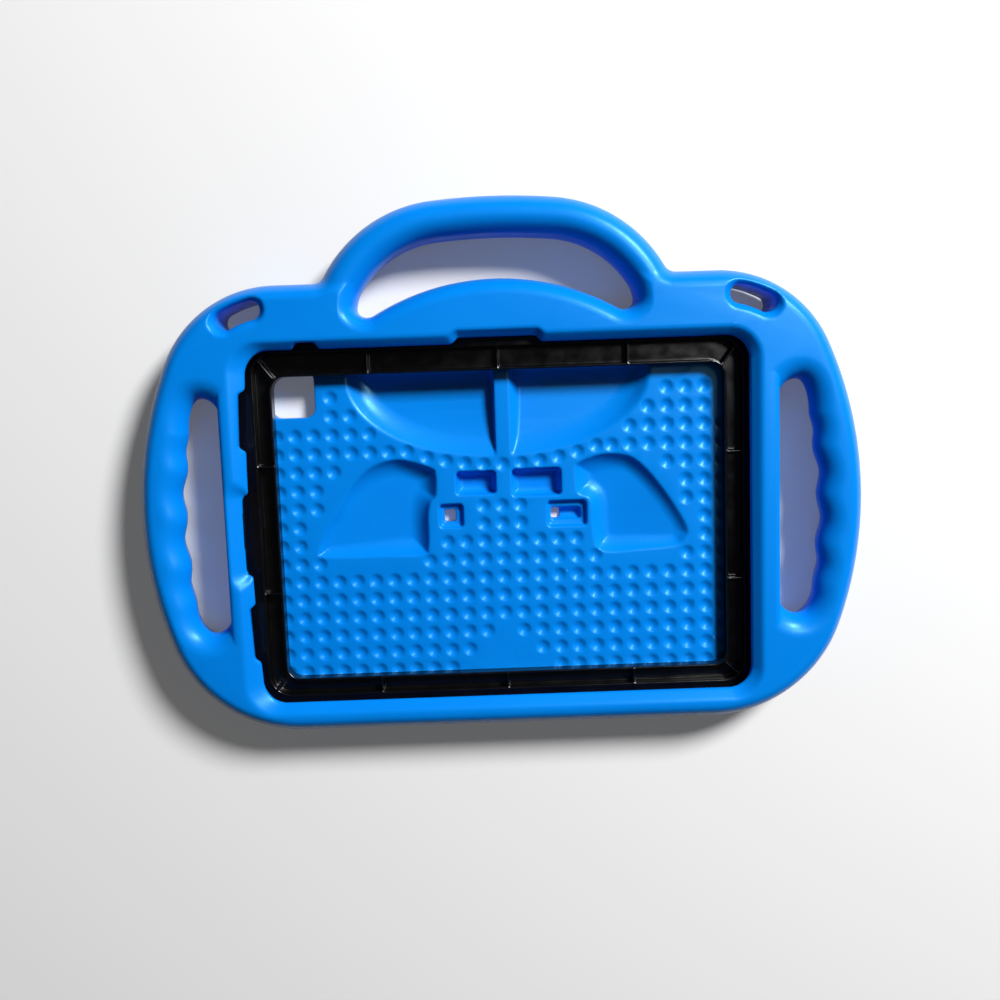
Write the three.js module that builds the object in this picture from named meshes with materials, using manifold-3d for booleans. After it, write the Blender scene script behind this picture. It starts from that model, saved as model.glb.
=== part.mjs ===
// A child's tablet case: one thick moulded foam body with a carry handle and two hand grips, and the
// black plastic spacer frame that lies in its pocket. The case lies on its back.
// Millimetres. +X is to the right, +Y is towards the handle, +Z comes out of the front. The origin is
// under the middle of the bounding box, on the flat back.
import * as THREE from "three";
import { ConvexGeometry } from "three/addons/geometries/ConvexGeometry.js";
import { mergeVertices } from "three/addons/utils/BufferGeometryUtils.js";
import Module from "manifold-3d";

// Tablet that the pocket is made for, and the room that the pocket leaves beside its buttons
const tabletWidth = 248.6;
const tabletHeight = 179.5;
const tabletThickness = 7;
const tabletCornerRadius = 13;
const tabletClearance = 0.5;
const buttonRoom = 2.8;

// Heights through the case, from the back to the front
const panelThickness = 8;
const seatGap = 0.3;
const frameHeight = 6.7;
const lipEdgeHeight = 1.7;
const chamferRise = 4;

// Lip round the screen. It is soft, and its left edge, cut by the notches, bows outwards by the middle.
// The chamfer runs from the lip's edge to a line of its own on the front face.
const lipOverlapSide = 5;
const lipOverlapEnd = 4.3;
const lipCornerRadius = 11;
const lipBow = 2.4;
const lipBowHalfLength = 80;
const lipBowSteps = 10;
const chamferWidth = { left: 8, right: 4.9, bottom: 4.9, top: 4.1 };
const chamferCornerRadius = 15;

// Borders of the foam body round the screen opening
const gripBarWidth = 13.7;
const gripOpeningWidth = 24.4;
const gripTubeWidth = 17.1;
const topBorder = 31;
const bottomBorder = 15.4;
const edgeInset = 7;
const edgeDrop = 12;
const gripBarEdge = 3;

// Outer curve of the foam body
const sideRadius = 187;
const sideCentreY = 6;
const topCornerRadius = 58.5;
const bottomCornerRadius = 67;

// Hand grips
const gripFromTop = 52.45;
const gripFromBottom = 48.85;
const gripTopEndLength = 17;
const gripBottomEndLength = 12.5;
const gripApexInset = 9.5;
const gripInnerBendLength = 13;
const gripBendFullness = 0.58;
const fingerPitch = 23.2;
const fingerDepth = 2;
const fingerCentreY = 6.9;
const fingerEdgeRadius = 240;
const fingerEdgeCentreY = 0;
const fingerMiddleY = 5;
const fingerHalfSpan = 42;
const fingerFadeLength = 12;

// Carry handle
const handleRise = 38.1;
const handleWidth = 19.2;
const handleDepth = 26;
const handleHalfSpan = 80.6;
const shoulderRadius = 58;
const crownRadius = 293;
const handleTail = 6;
const handleOpeningHalfWidth = 67;
const handleOpeningCornerRadius = 6;
const handleOpeningDipRadius = 116;
const dipCrownDrop = 0.3;

// Strap slots, which follow the top corners
const strapInset = 10.9;
const strapWidth = 9;
const strapFrom = THREE.MathUtils.degToRad(62);
const strapTo = THREE.MathUtils.degToRad(78);
const strapDishMargin = 3;
const strapDishDepth = 3;
const strapDishFlare = 2.7;

// Notches in the lip. Each has its place along the edge, its length and how far it cuts the lip back.
// The wide one at the top has a chamfer too, and beside the buttons a long scoop takes the chamfer's place.
const notchCornerRadius = 2.4;
const wideNotch = { centre: 0, length: 39, depth: 3 };
const wideNotchChamfer = { side: 1.5, top: 3.6 };
const cameraNotch = { centre: -90.2, length: 11, depth: 3.2 };
const leftNotches = [
  { centre: 52.8, length: 27.5, depth: 3.2 },
  { centre: -50.4, length: 27, depth: 2.7 },
];
const scoop = { centre: -2.2, length: 39.8, depth: 2.8, rise: 4.85, flare: 7.4 };

// Camera window, placed from the tablet's top left corner
const windowWidth = 22;
const windowHeight = 23;
const windowFromSide = 23.3;
const windowFromTop = 25.2;
const windowRadius = 5;

// Half oval recess with its central rib
const ovalHalfWidth = 74;
const ovalDepthDown = 39.5;
const ovalAxisY = 70;
const ovalTopMargin = 7;
const ovalShallow = 1.6;
const ovalDeep = 6.6;
const ovalRibWidth = 7.8;
const ovalRibOffset = 1.7;

// Two fan recesses. Each falls in one curve from its crown to the tip at its outer end, and its inner
// edge steps out below the pockets. The floor rises from the inner edge to the tip.
const fanDepth = 6.6;
const fanTipDepth = 2.6;
const fanLean = 2.6;
const fanCrown = { x: 53.5, y: 31 };
const fanShoulder = { x: 70, y: 24.3 };
const fanSlope = { x: 82.5, y: 8.5 };
const fanTip = { x: 91.7, y: -9.5 };
const fanBottomY = -17.8;
const fanCornerRadius = 4.5;
const fanShoulderDrop = 4.6;
const fanStepY = 10;
const fanStepRise = 6;
const fanInner = { left: { upper: 32.3, lower: 36.6 }, right: { upper: 37.6, lower: 45 } };

// Rectangular pockets and through holes in the panel: left, right, bottom, top and depth. The pockets'
// walls lean by a share of their depth.
const pocketRadius = 2;
const pocketLean = 0.22;
const pockets = [
  { left: -22.4, right: -2.6, bottom: 12.2, top: 23.9, depth: 6.6 },
  { left: 5.2, right: 29.7, bottom: 10.6, top: 24.4, depth: 6.6 },
  { left: -31.2, right: -19.3, bottom: -3.9, top: 7.9, depth: 3 },
  { left: 22.4, right: 42, bottom: -5, top: 7.9, depth: 3 },
  { left: 24, right: 39.6, bottom: -2.3, top: 4.6, depth: 6.6 },
];
const throughHoles = [
  { left: -28.8, right: -23.2, bottom: -1.2, top: 5 },
  { left: 24.2, right: 28.4, bottom: -1.2, top: 4 },
];

// Dimples in a square lattice cover what is left of the panel. Each row, counted from the middle, has
// its spans of columns. One more row follows the oval's edge, and two short ones lie between the pockets.
// Each is cut by a cone that goes on past the panel's face, so it is dimpleReach times as large.
const dimplePitch = 9.15;
const dimpleRadius = 3.25;
const dimpleDepth = 1.3;
const dimpleSides = 6;
const dimpleReach = 1.3;
const latticeY = -1.8;
const dimpleRows = [
  { row: 7, spans: [[-9, -9], [9, 11]] },
  { row: 6, spans: [[-9, -8], [8, 11]] },
  { row: 5, spans: [[-12, -7], [7, 12]] },
  { row: 4, spans: [[-12, -5], [6, 12]] },
  { row: 3, spans: [[-12, -9], [9, 12]] },
  { row: 2, spans: [[-12, -10], [10, 12]] },
  { row: 1, spans: [[-12, -10], [10, 12]] },
  { row: 0, spans: [[-12, -11], [11, 12]] },
  { row: -1, spans: [[-12, -11], [-3, 4], [11, 12]] },
  { row: -2, spans: [[-12, -10], [-4, 5], [10, 12]] },
  { row: -3, spans: [[-12, 12]] },
  { row: -4, spans: [[-12, 12]] },
  { row: -5, spans: [[-12, 12]] },
  { row: -6, spans: [[-12, -1], [1, 12]] },
  { row: -7, spans: [[-12, -2], [2, 12]] },
  { row: -8, spans: [[-12, -3], [3, 12]] },
];
const ovalRow = { count: 10, left: -36.1, pitch: 9.27, lowest: 27, curve: 0.0035 };
const shortRows = { reach: 1, heights: [6.6, -2.4] };

// Spacer frame: an open channel with cross ribs. A flange round its top reaches under the lip.
const channelSide = 7.3;
const channelTop = 9.8;
const channelBottom = 6.8;
const frameFloor = 1.5;
const outerWall = 1.8;
const innerWall = 1.2;
const flangeThickness = 1.6;
const frameOverhang = 0.5;
const frameCornerRadius = 12;
const innerCornerRadius = 8;
const ribWidth = 1;
const ribSpacing = 62.8;

// Working values. THROUGH is how far a cutter runs past the face that it opens, and CLEAR is more than
// any height of the case. EDGE_SHARE is the part of a wall that one rounded edge can take up.
const THROUGH = 2;
const CLEAR = 60;
const EDGE_SHARE = 0.49;
const pocketBottom = panelThickness;
const lipUnderside = panelThickness + seatGap + frameHeight + tabletThickness + seatGap;
const chamferBottom = lipUnderside + lipEdgeHeight;
const bodyThickness = chamferBottom + chamferRise;
const openingWidth = tabletWidth - 2 * lipOverlapSide;
const openingHeight = tabletHeight - 2 * lipOverlapEnd;
const pocketBox = {
  left: -tabletWidth / 2 - tabletClearance - buttonRoom,
  right: tabletWidth / 2 + tabletClearance,
  bottom: -tabletHeight / 2 - tabletClearance,
  top: tabletHeight / 2 + tabletClearance,
};
const gripInnerX = openingWidth / 2 + gripBarWidth;
const gripOuterX = gripInnerX + gripOpeningWidth;
const bodyHalfWidth = gripOuterX + gripTubeWidth;
const bodyTop = openingHeight / 2 + topBorder;
const bodyBottom = -openingHeight / 2 - bottomBorder;
const gripTop = bodyTop - gripFromTop;
const gripBottom = bodyBottom + gripFromBottom;
const handleCrownY = bodyTop + handleRise - handleWidth / 2;
const originY = (bodyTop + handleRise + bodyBottom) / 2;

const wasm = await Module();
wasm.setup();

// Solids and meshes

function toSolid(geometry) {
  const bare = geometry.clone();
  bare.deleteAttribute("normal");
  bare.deleteAttribute("uv");
  const merged = mergeVertices(bare, 1e-4);
  return new wasm.Manifold(
    new wasm.Mesh({
      numProp: 3,
      vertProperties: new Float32Array(merged.attributes.position.array),
      triVerts: new Uint32Array(merged.index.array),
    }),
  );
}

function toMesh(solid, name, material) {
  const { vertProperties, triVerts } = solid.getMesh();
  const geometry = new THREE.BufferGeometry();
  geometry.setAttribute("position", new THREE.BufferAttribute(vertProperties, 3));
  geometry.setIndex(new THREE.BufferAttribute(triVerts, 1));
  geometry.computeVertexNormals();
  const mesh = new THREE.Mesh(geometry, material);
  mesh.name = name;
  return mesh;
}

const join = (solids) => solids.reduce((sum, solid) => sum.add(solid));
const cut = (solid, cutters) => cutters.reduce((left, cutter) => left.subtract(cutter), solid);

// Outlines, as lists of points

function arc(x, y, radius, from, to, steps) {
  return Array.from({ length: steps + 1 }, (_, i) => {
    const angle = THREE.MathUtils.lerp(from, to, i / steps);
    return new THREE.Vector2(x + radius * Math.cos(angle), y + radius * Math.sin(angle));
  });
}

const mirrored = (points) => points.map((p) => new THREE.Vector2(-p.x, p.y)).reverse();

function roundedRectangle({ left, right, bottom, top }, radius, steps = 5) {
  const quarter = Math.PI / 2;
  return [
    ...arc(right - radius, bottom + radius, radius, -quarter, 0, steps),
    ...arc(right - radius, top - radius, radius, 0, quarter, steps),
    ...arc(left + radius, top - radius, radius, quarter, 2 * quarter, steps),
    ...arc(left + radius, bottom + radius, radius, 2 * quarter, 3 * quarter, steps),
  ];
}

const centredBox = (width, height) => ({
  left: -width / 2,
  right: width / 2,
  bottom: -height / 2,
  top: height / 2,
});

// The least wall between a hole and the closed outline round it
function leastWall(outline, hole) {
  const sides = outline.map((end, i) => [outline.at(i - 1), end]);
  const toSide = (p, [from, end]) => {
    const along = end.clone().sub(from);
    const share = THREE.MathUtils.clamp(p.clone().sub(from).dot(along) / along.lengthSq(), 0, 1);
    return p.distanceTo(from.clone().addScaledVector(along, share));
  };
  return Math.min(...hole.flatMap((p) => sides.map((side) => toSide(p, side))));
}

// Prisms

function prism(points, bottom, top) {
  const geometry = new THREE.ExtrudeGeometry(new THREE.Shape(points), {
    depth: top - bottom,
    bevelEnabled: false,
  });
  return toSolid(geometry.translate(0, 0, bottom));
}

// A cutter that widens by flare over its first rise and then goes straight up out of the body
function flaredCutter(points, bottom, rise, flare) {
  const geometry = new THREE.ExtrudeGeometry(new THREE.Shape(points), {
    depth: THROUGH,
    bevelThickness: rise,
    bevelSize: flare,
    bevelSegments: 1,
  });
  return toSolid(geometry.translate(0, 0, bottom + rise));
}

// A cutter between two outlines of as many points, each with no hollow side, at two heights. It goes
// on past the upper one.
function loftedCutter(lower, upper, bottom, rise) {
  const points = lower.flatMap((from, i) => {
    const end = from.clone().lerp(upper[i], (rise + THROUGH) / rise);
    const beyond = bottom + rise + THROUGH;
    return [new THREE.Vector3(from.x, from.y, bottom), new THREE.Vector3(end.x, end.y, beyond)];
  });
  return toSolid(new ConvexGeometry(points));
}

// A recess in the panel that is narrower at its floor, all round, by lean. shareAt gives the part of the
// depth that it has at each x.
function recessCutter(points, depth, lean, shareAt = () => 1) {
  const geometry = new THREE.ExtrudeGeometry(new THREE.Shape(points), {
    depth: THROUGH,
    bevelThickness: depth,
    bevelSize: lean,
    bevelOffset: -lean,
    bevelSegments: 1,
  });
  const { position } = geometry.attributes;
  for (let i = 0; i < position.count; i++)
    if (position.getZ(i) < 0) position.setZ(i, position.getZ(i) * shareAt(position.getX(i)));
  return toSolid(geometry.translate(0, 0, panelThickness));
}

// A plate as thick as the body whose edges, also those of its holes, are quarter ellipses
function roundedPlate(points, holes, inset, drop) {
  const shape = new THREE.Shape(points);
  shape.holes = holes.map((hole) => new THREE.Path(hole));
  const geometry = new THREE.ExtrudeGeometry(shape, {
    depth: bodyThickness - 2 * drop,
    bevelThickness: drop,
    bevelSize: inset,
    bevelOffset: -inset,
    bevelSegments: 4,
  });
  return toSolid(geometry.translate(0, 0, drop));
}

// Foam body

// One long side arc blends into a corner arc at the top and one at the bottom.
const sideCentreX = bodyHalfWidth - sideRadius;
function cornerCentre(radius, y) {
  const reach = sideRadius - radius;
  return { x: sideCentreX + Math.sqrt(reach ** 2 - (y - sideCentreY) ** 2), y };
}
const topCorner = cornerCentre(topCornerRadius, bodyTop - topCornerRadius);
const bottomCorner = cornerCentre(bottomCornerRadius, bodyBottom + bottomCornerRadius);

function bodyOutline() {
  const bottomAngle = Math.atan2(bottomCorner.y - sideCentreY, bottomCorner.x - sideCentreX);
  const topAngle = Math.atan2(topCorner.y - sideCentreY, topCorner.x - sideCentreX);
  // Under the handle the top edge dips at each end and crowns in the middle.
  const dipCentreY = bodyTop - dipCrownDrop - handleOpeningDipRadius;
  const dipCornerX = handleOpeningHalfWidth - handleOpeningCornerRadius;
  const dipReach = handleOpeningDipRadius + handleOpeningCornerRadius;
  const dipCornerY = dipCentreY + Math.sqrt(dipReach ** 2 - dipCornerX ** 2);
  const dipAngle = Math.atan2(dipCornerY - dipCentreY, dipCornerX);
  const right = [
    ...arc(bottomCorner.x, bottomCorner.y, bottomCornerRadius, -Math.PI / 2, bottomAngle, 7),
    ...arc(sideCentreX, sideCentreY, sideRadius, bottomAngle, topAngle, 20).slice(1, -1),
    ...arc(topCorner.x, topCorner.y, topCornerRadius, topAngle, Math.PI / 2, 8),
    new THREE.Vector2(handleOpeningHalfWidth, bodyTop),
    ...arc(dipCornerX, dipCornerY, handleOpeningCornerRadius, 0, dipAngle - Math.PI, 5),
    ...arc(0, dipCentreY, handleOpeningDipRadius, dipAngle, Math.PI / 2, 7).slice(1),
  ];
  return [...right, ...mirrored(right).slice(1)];
}

// The outer edge of a grip opening follows the side of the body, with a groove for each finger. The
// grooves fade out towards both ends.
function gripOutline() {
  const fade = (y) => Math.min(1, (fingerHalfSpan - Math.abs(y - fingerMiddleY)) / fingerFadeLength);
  const fingerWave = (y) => fade(y) * Math.cos((2 * Math.PI * (y - fingerCentreY)) / fingerPitch);
  const outerX = (y) =>
    gripOuterX -
    fingerEdgeRadius +
    Math.sqrt(fingerEdgeRadius ** 2 - (y - fingerEdgeCentreY) ** 2) -
    (fingerDepth / 2) * (1 + fingerWave(y));
  const edgeSteps = 26;
  const outerFrom = gripBottom + gripBottomEndLength;
  const outerTo = gripTop - gripTopEndLength;
  const outerEdge = Array.from({ length: edgeSteps + 1 }, (_, i) => {
    const y = THREE.MathUtils.lerp(outerFrom, outerTo, i / edgeSteps);
    return new THREE.Vector2(outerX(y), y);
  });
  const at = (x, y) => new THREE.Vector2(x, y);
  const apexX = gripInnerX + gripApexInset;
  const corner = (from, towards, to, steps) =>
    new THREE.CubicBezierCurve(
      from,
      from.clone().lerp(towards, gripBendFullness),
      to.clone().lerp(towards, gripBendFullness),
      to,
    ).getPoints(steps);
  const innerTop = at(gripInnerX, gripTop - gripInnerBendLength);
  const innerBottom = at(gripInnerX, gripBottom + gripInnerBendLength);
  const apex = at(apexX, gripTop);
  const foot = at(apexX, gripBottom);
  return [
    ...outerEdge,
    ...corner(outerEdge.at(-1), at(outerX(outerTo), gripTop), apex, 6).slice(1),
    ...corner(apex, at(gripInnerX, gripTop), innerTop, 5).slice(1),
    ...corner(innerBottom, at(gripInnerX, gripBottom), foot, 5),
    ...corner(foot, at(outerX(outerFrom), gripBottom), outerEdge[0], 6).slice(1, -1),
  ];
}

// The handle's centre line: a shallow crown between two round shoulders, with short tails that end
// inside the body.
function handleTube() {
  const shoulderX = handleHalfSpan - shoulderRadius;
  const crownCentreY = handleCrownY - crownRadius;
  const crownReach = crownRadius - shoulderRadius;
  const shoulderY = crownCentreY + Math.sqrt(crownReach ** 2 - shoulderX ** 2);
  const joinAngle = Math.atan2(shoulderY - crownCentreY, shoulderX);
  const right = [
    new THREE.Vector2(handleHalfSpan, shoulderY - handleTail),
    ...arc(shoulderX, shoulderY, shoulderRadius, 0, joinAngle, 14),
    ...arc(0, crownCentreY, crownRadius, joinAngle, Math.PI / 2, 3).slice(1),
  ];
  const line = [...right, ...mirrored(right).slice(1)];
  const path = new THREE.CatmullRomCurve3(
    line.map((p) => new THREE.Vector3(p.x, p.y, 0)),
    false,
    "centripetal",
  );
  const section = new THREE.Shape();
  section.absellipse(0, 0, handleDepth / 2, handleWidth / 2, 0, 2 * Math.PI);
  const geometry = new THREE.ExtrudeGeometry(section, {
    steps: 40,
    curveSegments: 8,
    extrudePath: path,
  });
  return toSolid(geometry.translate(0, 0, bodyThickness / 2));
}

// A slot along the top corner, as long as the angle from strapFrom to strapTo
function strapOutline(halfWidth) {
  const { x, y } = topCorner;
  const radius = topCornerRadius - strapInset;
  const end = (angle, from) =>
    arc(x + radius * Math.cos(angle), y + radius * Math.sin(angle), halfWidth, from, from + Math.PI, 6);
  return [
    ...arc(x, y, radius + halfWidth, strapFrom, strapTo, 4),
    ...end(strapTo, strapTo).slice(1, -1),
    ...arc(x, y, radius - halfWidth, strapTo, strapFrom, 4),
    ...end(strapFrom, strapFrom + Math.PI).slice(1, -1),
  ];
}

function strapCutters() {
  const slot = strapOutline(strapWidth / 2);
  const dish = strapOutline(strapWidth / 2 + strapDishMargin - strapDishFlare);
  const both = (points) => [points, mirrored(points)];
  return [
    ...both(slot).map((points) => prism(points, -THROUGH, bodyThickness + THROUGH)),
    ...both(dish).map((points) =>
      flaredCutter(points, bodyThickness - strapDishDepth, strapDishDepth, strapDishFlare),
    ),
  ];
}

// A rounded rectangle whose left edge bows outwards by the middle
function bowedRectangle(box, radius, bow) {
  const outline = roundedRectangle(box, radius, 6);
  const edge = Array.from({ length: lipBowSteps - 1 }, (_, i) => {
    const y = THREE.MathUtils.lerp(box.top - radius, box.bottom + radius, (i + 1) / lipBowSteps);
    return new THREE.Vector2(box.left, y);
  });
  outline.splice((outline.length * 3) / 4, 0, ...edge);
  return outline.map(({ x, y }) => new THREE.Vector2(x < 0 ? x - bowAt(y, bow) : x, y));
}

const bowAt = (y, bow) => bow * Math.max(0, 1 - (y / lipBowHalfLength) ** 2);

// Pocket, screen opening and the notches that its lip has for the tablet's buttons and ports
function screenCutters() {
  const opening = centredBox(openingWidth, openingHeight);
  const front = {
    left: opening.left - chamferWidth.left,
    right: opening.right + chamferWidth.right,
    bottom: opening.bottom - chamferWidth.bottom,
    top: opening.top + chamferWidth.top,
  };
  const back = notchCornerRadius * 3;
  const topBox = ({ centre, length, depth }) => ({
    left: centre - length / 2,
    right: centre + length / 2,
    bottom: opening.top - back,
    top: opening.top + depth,
  });
  const leftBox = ({ centre, length, depth }) => ({
    left: opening.left - bowAt(centre, lipBow) - depth,
    right: opening.left + back,
    bottom: centre - length / 2,
    top: centre + length / 2,
  });
  const wide = topBox(wideNotch);
  const wideFront = {
    left: wide.left - wideNotchChamfer.side,
    right: wide.right + wideNotchChamfer.side,
    bottom: wide.bottom,
    top: wide.top + wideNotchChamfer.top,
  };
  const rounded = (box) => roundedRectangle(box, notchCornerRadius, 3);
  const rim = bowedRectangle(opening, lipCornerRadius, lipBow);
  const outlines = [
    rim,
    ...[wide, topBox(cameraNotch), ...leftNotches.map(leftBox), leftBox(scoop)].map(rounded),
  ];
  return [
    prism(roundedRectangle(pocketBox, tabletCornerRadius, 6), pocketBottom, lipUnderside),
    ...outlines.map((points) => prism(points, lipUnderside - THROUGH, bodyThickness + THROUGH)),
    loftedCutter(rim, bowedRectangle(front, chamferCornerRadius, 0), chamferBottom, chamferRise),
    loftedCutter(rounded(wide), rounded(wideFront), chamferBottom, chamferRise),
    flaredCutter(rounded(leftBox(scoop)), bodyThickness - scoop.rise, scoop.rise, scoop.flare),
  ];
}

// A half oval whose floor slopes down towards the handle, split by a rib
function ovalRecess() {
  const top = ovalAxisY + ovalTopMargin;
  const outline = new THREE.Shape();
  outline.moveTo(ovalHalfWidth, top);
  outline.lineTo(-ovalHalfWidth, top);
  outline.absellipse(0, ovalAxisY, ovalHalfWidth, ovalDepthDown, Math.PI, 2 * Math.PI);
  const length = ovalTopMargin + ovalDepthDown;
  const slope = (ovalDeep - ovalShallow) / length;
  const geometry = new THREE.ExtrudeGeometry(outline, {
    depth: CLEAR,
    curveSegments: 14,
    bevelEnabled: false,
  });
  const shear = new THREE.Matrix4().set(1, 0, 0, 0, 0, 1, 0, 0, 0, -slope, 1, 0, 0, 0, 0, 1);
  const floorAtTop = panelThickness - ovalDeep;
  geometry.applyMatrix4(shear).translate(0, 0, floorAtTop + slope * top);
  const rib = new THREE.BoxGeometry(ovalRibWidth, CLEAR * 2, CLEAR * 2);
  const pocket = roundedRectangle(pocketBox, tabletCornerRadius);
  return toSolid(geometry)
    .subtract(toSolid(rib.translate(ovalRibOffset, top, 0)))
    .intersect(prism(pocket, 0, lipUnderside));
}

// One fan recess, drawn for the right side
function fanOutline({ upper, lower }) {
  const radius = fanCornerRadius;
  const point = ({ x, y }) => new THREE.Vector2(x, y);
  const shape = new THREE.Shape();
  shape.moveTo(lower, fanBottomY + radius);
  shape.quadraticCurveTo(lower, fanBottomY, lower + radius, fanBottomY);
  shape.lineTo(fanTip.x - radius, fanBottomY);
  shape.quadraticCurveTo(fanTip.x, fanBottomY, fanTip.x, fanTip.y);
  shape.splineThru([
    point(fanSlope),
    point(fanShoulder),
    point(fanCrown),
    new THREE.Vector2(upper + radius, fanCrown.y - fanShoulderDrop),
  ]);
  shape.quadraticCurveTo(upper, fanCrown.y - fanShoulderDrop - radius / 2, upper, fanCrown.y - 2 * radius);
  shape.lineTo(upper, fanStepY + fanStepRise / 2);
  shape.lineTo(lower, fanStepY - fanStepRise / 2);
  return shape.getPoints(5);
}

function fanCutters() {
  const inner = Math.min(fanInner.left.upper, fanInner.right.upper);
  const shareAt = (x) =>
    THREE.MathUtils.mapLinear(Math.abs(x), inner, fanTip.x, 1, fanTipDepth / fanDepth);
  return [fanOutline(fanInner.right), mirrored(fanOutline(fanInner.left))].map((points) =>
    recessCutter(points, fanDepth, fanLean, shareAt),
  );
}

const cameraWindow = {
  left: -tabletWidth / 2 + windowFromSide - windowWidth / 2,
  right: -tabletWidth / 2 + windowFromSide + windowWidth / 2,
  bottom: tabletHeight / 2 - windowFromTop - windowHeight / 2,
  top: tabletHeight / 2 - windowFromTop + windowHeight / 2,
};

// One small cone, point down, for each dimple that lies clear of the pocket's walls
function dimpleCutters() {
  const centres = dimpleRows.flatMap(({ row, spans }) =>
    spans.flatMap(([first, last]) =>
      Array.from({ length: last - first + 1 }, (_, i) => ({
        x: dimplePitch * (first + i),
        y: dimplePitch * row + latticeY,
      })),
    ),
  );
  for (let i = 0; i < ovalRow.count; i++) {
    const x = ovalRow.left + ovalRow.pitch * i;
    centres.push({ x, y: ovalRow.lowest + ovalRow.curve * x ** 2 });
  }
  for (const y of shortRows.heights)
    for (let column = -shortRows.reach; column <= shortRows.reach; column++)
      centres.push({ x: dimplePitch * column, y });

  const height = dimpleReach * dimpleDepth;
  const radius = dimpleReach * dimpleRadius;
  const geometry = new THREE.ConeGeometry(radius, height, dimpleSides);
  geometry.rotateX(-Math.PI / 2).translate(0, 0, panelThickness - dimpleDepth + height / 2);
  const cone = toSolid(geometry);
  return centres
    .filter(({ x, y }) => x > pocketBox.left + radius && x < pocketBox.right - radius)
    .filter(({ y }) => y > pocketBox.bottom + radius && y < pocketBox.top - radius)
    .map(({ x, y }) => cone.translate(x, y, 0));
}

function panelCutters() {
  const hole = (points) => prism(points, -THROUGH, lipUnderside);
  return [
    ovalRecess(),
    ...fanCutters(),
    ...pockets.map((box) =>
      recessCutter(roundedRectangle(box, pocketRadius, 2), box.depth, pocketLean * box.depth),
    ),
    ...throughHoles.map((box) => hole(roundedRectangle(box, pocketRadius / 2, 1))),
    hole(roundedRectangle(cameraWindow, windowRadius, 4)),
    ...dimpleCutters(),
  ];
}

function foamBody() {
  const outline = bodyOutline();
  const grip = gripOutline();
  // The edges on both sides of the grip's tube can't meet.
  const inset = Math.min(edgeInset, leastWall(outline, grip) * EDGE_SHARE);
  const plate = roundedPlate(outline, [grip, mirrored(grip)], inset, edgeDrop);
  // The bars between the screen and the grips have a tighter edge than the outside of the body.
  const bars = roundedPlate(
    roundedRectangle(
      {
        left: -gripInnerX,
        right: gripInnerX,
        bottom: gripBottom - edgeInset,
        top: gripTop + edgeInset,
      },
      2 * gripBarEdge,
      3,
    ),
    [],
    gripBarEdge,
    gripBarEdge,
  );
  return cut(join([plate, bars, handleTube()]), [
    ...screenCutters(),
    ...strapCutters(),
    ...panelCutters(),
  ]);
}

// Spacer frame

function spacerFrame() {
  const bottom = panelThickness + seatGap;
  const floor = bottom + frameFloor;
  const top = bottom + frameHeight;
  const grow = (box, by) => ({
    left: box.left - by,
    right: box.right + by,
    bottom: box.bottom - by,
    top: box.top + by,
  });
  const flange = grow(pocketBox, -seatGap);
  const wallOutside = grow(centredBox(openingWidth, openingHeight), frameOverhang);
  const wallInside = grow(wallOutside, -outerWall);
  const rimOutside = {
    left: wallInside.left + channelSide,
    right: wallInside.right - channelSide,
    bottom: wallInside.bottom + channelBottom,
    top: wallInside.top - channelTop,
  };
  const rimInside = grow(rimOutside, -innerWall);
  const ring = (outside, outsideRadius, inside, insideRadius, from, to) =>
    prism(roundedRectangle(outside, outsideRadius, 6), from, to).subtract(
      prism(roundedRectangle(inside, insideRadius, 6), from - THROUGH, to + THROUGH),
    );
  const innerRadius = innerCornerRadius - innerWall;
  const wallRadius = frameCornerRadius - outerWall;
  const floorPlate = ring(wallOutside, frameCornerRadius, rimInside, innerRadius, bottom, floor);
  const flangePlate = ring(flange, tabletCornerRadius, wallInside, wallRadius, top - flangeThickness, top);
  const outer = ring(wallOutside, frameCornerRadius, wallInside, wallRadius, bottom, top);
  const inner = ring(rimOutside, innerCornerRadius, rimInside, innerRadius, bottom, top);

  // A rib fills the channel between two points, from wall to wall.
  const rib = (from, to) => {
    const length = from.distanceTo(to);
    const geometry = new THREE.BoxGeometry(length, ribWidth, top - bottom);
    geometry.rotateZ(Math.atan2(to.y - from.y, to.x - from.x));
    const middle = from.clone().lerp(to, 0.5);
    return toSolid(geometry.translate(middle.x, middle.y, (top + bottom) / 2));
  };
  const at = (x, y) => new THREE.Vector2(x, y);
  const rimMiddleY = (rimOutside.top + rimOutside.bottom) / 2;
  const wallSink = outerWall / 2;
  const rimSink = innerWall / 2;
  const cross = [-ribSpacing, 0, ribSpacing].flatMap((x) => [
    rib(at(x, rimOutside.top - rimSink), at(x, wallInside.top + wallSink)),
    rib(at(x, wallInside.bottom - wallSink), at(x, rimOutside.bottom + rimSink)),
  ]);
  const sides = [rimMiddleY - ribSpacing / 2, rimMiddleY + ribSpacing / 2].flatMap((y) => [
    rib(at(rimOutside.right - rimSink, y), at(wallInside.right + wallSink, y)),
    rib(at(wallInside.left - wallSink, y), at(rimOutside.left + rimSink, y)),
  ]);
  // In each corner a rib runs from the middle of the inner bend to the middle of the outer bend.
  const bend = (box, radius, signX, signY) => {
    const toMiddle = radius * (1 - Math.SQRT1_2);
    const x = signX > 0 ? box.right - toMiddle : box.left + toMiddle;
    const y = signY > 0 ? box.top - toMiddle : box.bottom + toMiddle;
    return at(x, y);
  };
  const corners = [-1, 1].flatMap((signX) =>
    [-1, 1].map((signY) =>
      rib(
        bend(grow(rimOutside, -rimSink), innerCornerRadius - rimSink, signX, signY),
        bend(grow(wallInside, wallSink), frameCornerRadius - wallSink, signX, signY),
      ),
    ),
  );
  return join([floorPlate, flangePlate, outer, inner, ...cross, ...sides, ...corners]);
}

// Materials and scene

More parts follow.
